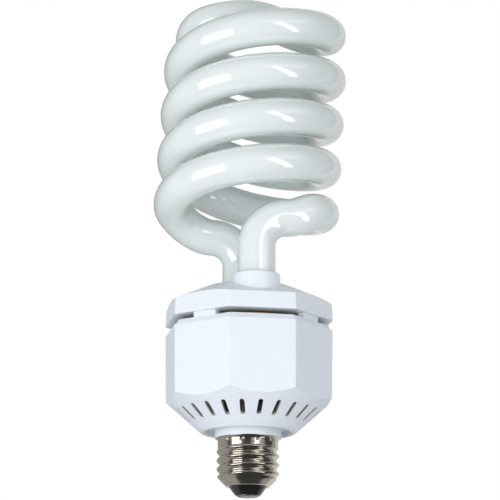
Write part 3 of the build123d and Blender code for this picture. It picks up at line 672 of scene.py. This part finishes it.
class LAMP_OT_screw_shell(PieceOperator, bpy.types.Operator):
    """Spins the screw shell and rolls its thread, rim and dimples"""

    bl_idname = "lamp.screw_shell"
    bl_label = "Screw shell"

    def build(self, lamp):
        base = lamp.base
        foot, top = (corner.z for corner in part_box("screw_shell"))
        run_out_z = top - base.sleeve_height - base.run_out
        flare_z = top - base.rim_height
        mean = (base.crest_radius + base.root_radius) / 2
        swing = (base.crest_radius - base.root_radius) / 2
        dimples = [base.stake_turn + 2 * pi * i / base.stakes for i in range(base.stakes)]

        def climb(z, start, height):
            """Share of a height that z has climbed from its start, from 0 to 1."""
            return min(1.0, max(0.0, (z - start) / height))

        def skin(z, around):
            """Outer radius of the shell at a height and direction."""
            phase = around - base.crest_angle - 2 * pi * (z - base.crest_z) / base.pitch
            thread = mean + swing * cos(phase)
            cone = base.foot_radius + (z - foot)
            thread = 0.5 * (thread + cone - hypot(thread - cone, base.foot_blend))
            blend = climb(z, run_out_z, base.run_out)
            blend = blend * blend * (3 - 2 * blend)
            radius = thread + (base.sleeve_radius - thread) * blend
            flare = climb(z, flare_z, base.rim_height) ** base.flare_power
            radius += (base.rim_radius - base.sleeve_radius) * flare
            for dimple in dimples:
                away = abs((around - dimple + pi) % (2 * pi) - pi) * radius
                if away < 3 * base.stake_radius:
                    reach = hypot(away, z - top + base.stake_drop) / base.stake_radius
                    radius -= base.stake_depth * exp(-reach ** 3)
            return radius

        inner_foot = foot + base.wall
        heights = [foot + (top - foot) * i / base.rows for i in range(base.rows + 1)]
        outline = [(OUTSIDE, z) for z in heights] + [(INSIDE, z) for z in reversed(heights)]
        form = turned([*outline, (HOLE, inner_foot), (HOLE, foot)], base.sides)
        for vertex in form.verts:
            x, y, z = vertex.co
            layer = round(hypot(x, y), 2)
            around = atan2(y, x)
            if layer == HOLE:
                radius = base.hole_radius
            elif layer == INSIDE:
                z = max(z, inner_foot)
                radius = skin(z, around) - base.wall
            else:
                radius = skin(z, around)
            vertex.co = (radius * cos(around), radius * sin(around), z)
        bmesh.ops.remove_doubles(form, verts=form.verts, dist=2 * WELD)
        bmesh.ops.recalc_face_normals(form, faces=form.faces)
        stand_in("rolled_shell", mesh_from(form), "screw_shell", nickel_material(base))


class LAMP_OT_base_foot(PieceOperator, bpy.types.Operator):
    """Turns the black insulator and the soldered centre contact"""

    bl_idname = "lamp.base_foot"
    bl_label = "Insulator and contact"

    def build(self, lamp):
        base = lamp.base
        cone = refined("base_insulator", base.insulator_bevel)
        black = black_glass_material(base)
        shade_evenly(stand_in("insulator_cone", cone, "base_insulator", black))

        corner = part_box("centre_contact")[1]
        radius, top = corner.x, corner.z
        edge = [(radius * part, z * MM) for part, z in TIP_EDGE]
        form = turned([*edge, (radius, top), (0.0, top)], base.tip_sides)
        for vertex in form.verts:
            x, y, z = vertex.co
            if z < top - 10 * WELD:
                around = atan2(y, x)
                wave = sum(part * sin(waves * around + turn) for waves, part, turn in TIP_WAVES)
                vertex.co.z += max(-z, base.ripple * wave * hypot(x, y) / radius)
        solder = plain_material("solder", base.solder, 0.34, metallic=1.0, depth=0.12 * MM)
        stand_in("solder_tip", mesh_from(form), "centre_contact", solder)


class LAMP_OT_board(PieceOperator, bpy.types.Operator):
    """Finishes the circuit board, its solder, pins and lead wires"""

    bl_idname = "lamp.board"
    bl_label = "Circuit board"

    def build(self, lamp):
        tones = lamp.ballast
        laminate = plain_material("board laminate", tones.board_laminate, 0.6, grain=1200.0)
        dress_slot("board_laminate", laminate)
        solder = plain_material("joint solder", tones.joint_solder, 0.3, metallic=1.0)
        dress("solder_joints", solder)
        tin = plain_material("tinned wire", tones.tinned_pin, 0.28, metallic=1.0, grain=1600.0)
        dress_slot("tinned_pin", tin)


class LAMP_OT_windings(PieceOperator, bpy.types.Operator):
    """Finishes the chokes and the ring transformer"""

    bl_idname = "lamp.windings"
    bl_label = "Chokes and transformer"

    def build(self, lamp):
        tones = lamp.ballast
        ferrite = plain_material(
            "ferrite", tones.ferrite, 0.8, grain=2000.0, change=0.2, shine=0.15
        )
        dress_slot("ferrite", ferrite)
        bobbin = plain_material("bobbin plastic", tones.bobbin_plastic, 0.7, shine=0.15)
        dress_slot("bobbin_plastic", bobbin)
        copper = tones.copper_wire
        dress("choke_winding", wound_material("choke wire", copper, tones.choke_wire))
        dress("line_choke_winding", wound_material("line choke wire", copper, tones.line_wire))
        dress("toroid_winding", plain_material("ring wire", tones.ring_wire, 0.35, grain=1500.0))


class LAMP_OT_components(PieceOperator, bpy.types.Operator):
    """Finishes the capacitors, transistors and small parts"""

    bl_idname = "lamp.components"
    bl_label = "Ballast parts"

    roughness = {
        "can_sleeve": 0.32,
        "moulded_epoxy": 0.55,
        "dipped_coat": 0.25,
        "resistor_coat": 0.5,
        "disc_ceramic": 0.45,
        "live_insulation": 0.4,
        "neutral_insulation": 0.4,
    }

    def build(self, lamp):
        for slot, roughness in self.roughness.items():
            tone = getattr(lamp.ballast, slot)
            dress_slot(slot, plain_material(slot.replace("_", " "), tone, roughness))


class LAMP_OT_stage(PieceOperator, bpy.types.Operator):
    """Sets up the camera, the softboxes, the floor and the background"""

    bl_idname = "lamp.stage"
    bl_label = "Stage"

    def build(self, lamp):
        stage = lamp.stage
        bpy.context.scene.view_settings.view_transform = "Standard"
        self.set_camera(stage)
        self.aim = Vector((0, 0, stage.aim_z))
        self.add_softbox("left softbox", -54, -15.5, 0.80, (0.56, 0.55), 2.6)
        self.add_softbox("right strip", 34, -13, 0.80, (0.15, 0.95), 2.6, spin=38)
        self.add_softbox("front fill", -18, -20, 1.10, (0.9, 0.9), 1.3, shown=False)
        self.lay_floor(stage)
        self.set_world(stage)

    def set_camera(self, stage):
        """Camera on a level circle round the lamp, looking up at it."""
        a, e = stage.azimuth, stage.pitch
        level = Vector((cos(a), sin(a), 0.0))
        ahead = Vector((-sin(a) * cos(e), cos(a) * cos(e), sin(e)))
        above = level.cross(ahead)
        right = level * cos(stage.roll) + above * sin(stage.roll)
        up = above * cos(stage.roll) - level * sin(stage.roll)
        data = bpy.data.cameras.new("camera")
        data.sensor_width = 36.0
        data.lens = stage.lens
        camera = bpy.data.objects.new("camera", data)
        bpy.context.scene.collection.objects.link(camera)
        place = Matrix((right, up, -ahead)).transposed().to_4x4()
        x, y = sin(a) * stage.distance, -cos(a) * stage.distance
        place.translation = Vector((x, y, stage.height)) + level * stage.side_shift
        camera.matrix_world = place
        bpy.context.scene.camera = camera

    def add_softbox(self, name, azimuth, elevation, distance, size, radiance, spin=0, shown=True):
        """Area lamp at an azimuth (0 is -Y, 90 is +X) and elevation from the coil, in degrees."""
        a, e = radians(azimuth), radians(elevation)
        towards = Vector((sin(a) * cos(e), -cos(a) * cos(e), sin(e)))
        data = bpy.data.lights.new(name, "AREA")
        data.shape = "RECTANGLE"
        data.color = DAYLIGHT
        data.size, data.size_y = size
        data.energy = pi * size[0] * size[1] * radiance
        light = bpy.data.objects.new(name, data)
        bpy.context.scene.collection.objects.link(light)
        light.location = self.aim + towards * distance
        turn = towards.to_track_quat("Z", "Y").to_matrix() @ Matrix.Rotation(radians(spin), 3, "Z")
        light.rotation_euler = turn.to_euler()
        light.visible_glossy = shown
        light.visible_camera = False

    def lay_floor(self, stage):
        """White paper far below the lamp, which polished surfaces don't show."""
        form = bmesh.new()
        bmesh.ops.create_grid(form, x_segments=1, y_segments=1, size=stage.floor_size)
        bmesh.ops.translate(form, verts=form.verts, vec=(0, 0, stage.floor_z))
        floor = bpy.data.objects.new("floor", mesh_from(form))
        bpy.context.scene.collection.objects.link(floor)
        paper = Finish("floor paper", Roughness=0.9, Emission_Color=WHITE)
        paper.speckle(stage.paper, 0.01, 3.0)
        seen = paper.node("ShaderNodeLightPath").outputs["Is Camera Ray"]
        paper.give("Emission Strength", paper.math("MULTIPLY", seen, stage.floor_glow))
        floor.data.materials.append(paper.material)
        floor.visible_glossy = False

    def set_world(self, stage):
        """White for the camera, a dim studio for polished surfaces and even light for the rest."""
        studio = bpy.data.worlds.new("studio")
        bpy.context.scene.world = studio
        studio.use_nodes = True
        sky = NodeBuilder(studio.node_tree, "Generated")
        across, depth, rise = (sky.part(axis) for axis in "XYZ")

        # Each span is the range of a direction's coordinate over which a bright area fades in
        beside = sky.span(depth, 0.04, 0.12, 0.0, stage.side)
        behind = sky.product(
            sky.span(depth, 0.45, 0.50, 0.0, stage.backdrop - stage.side),
            sky.span(across, -0.1, 0.2),
        )
        panel = sky.product(
            sky.span(across, 0.0, 0.1, 0.0, stage.panel),
            sky.span(across, 0.85, 0.75),
            sky.span(rise, 0.12, 0.2),
            sky.span(rise, 0.5, 0.3),
            sky.span(depth, -0.2, -0.5),
        )
        level = sky.math("MAXIMUM", sky.math("ADD", beside, behind), panel)
        shown = sky.mix(level, stage.room, WHITE, clamp=False)
        polished = sky.node("ShaderNodeBackground", {"Color": shown})
        white = sky.node("ShaderNodeBackground", {"Color": WHITE})
        last = sky.tree.nodes["Background"]
        sky.feed(last.inputs["Color"], stage.ambient)
        ray = sky.node("ShaderNodeLightPath").outputs
        seen = {"Is Glossy Ray": polished, "Is Transmission Ray": white, "Is Camera Ray": white}
        for test, shader in seen.items():
            links = {0: ray[test], 1: last.outputs[0], 2: shader.outputs[0]}
            last = sky.node("ShaderNodeMixShader", links)
        sky.feed(sky.tree.nodes["World Output"].inputs["Surface"], last.outputs[0])


OPERATORS = (
    LAMP_OT_glass_tube,
    LAMP_OT_cement,
    LAMP_OT_shells,
    LAMP_OT_screw_shell,
    LAMP_OT_base_foot,
    LAMP_OT_board,
    LAMP_OT_windings,
    LAMP_OT_components,
    LAMP_OT_stage,
)


class LAMP_PT_panel(bpy.types.Panel):
    """Lists the lamp's pieces in the sidebar"""

    bl_idname = "LAMP_PT_panel"
    bl_label = "Spiral lamp"
    bl_space_type = "VIEW_3D"
    bl_region_type = "UI"
    bl_category = "Lamp"

    def draw(self, context):
        for operator in OPERATORS:
            self.layout.operator(operator.bl_idname)


CLASSES = (
    TubeSettings, PlasticSettings, BaseSettings, BallastSettings, StageSettings, LampSettings,
    *OPERATORS, LAMP_PT_panel,
)


def register():
    for made in CLASSES:
        bpy.utils.register_class(made)
    bpy.types.Scene.lamp = PointerProperty(type=LampSettings)


def unregister():
    del bpy.types.Scene.lamp
    for made in reversed(CLASSES):
        bpy.utils.unregister_class(made)


def main():
    register()
    for operator in OPERATORS:
        group, name = operator.bl_idname.split(".")
        getattr(getattr(bpy.ops, group), name)()


if __name__ == "__main__":
    main()
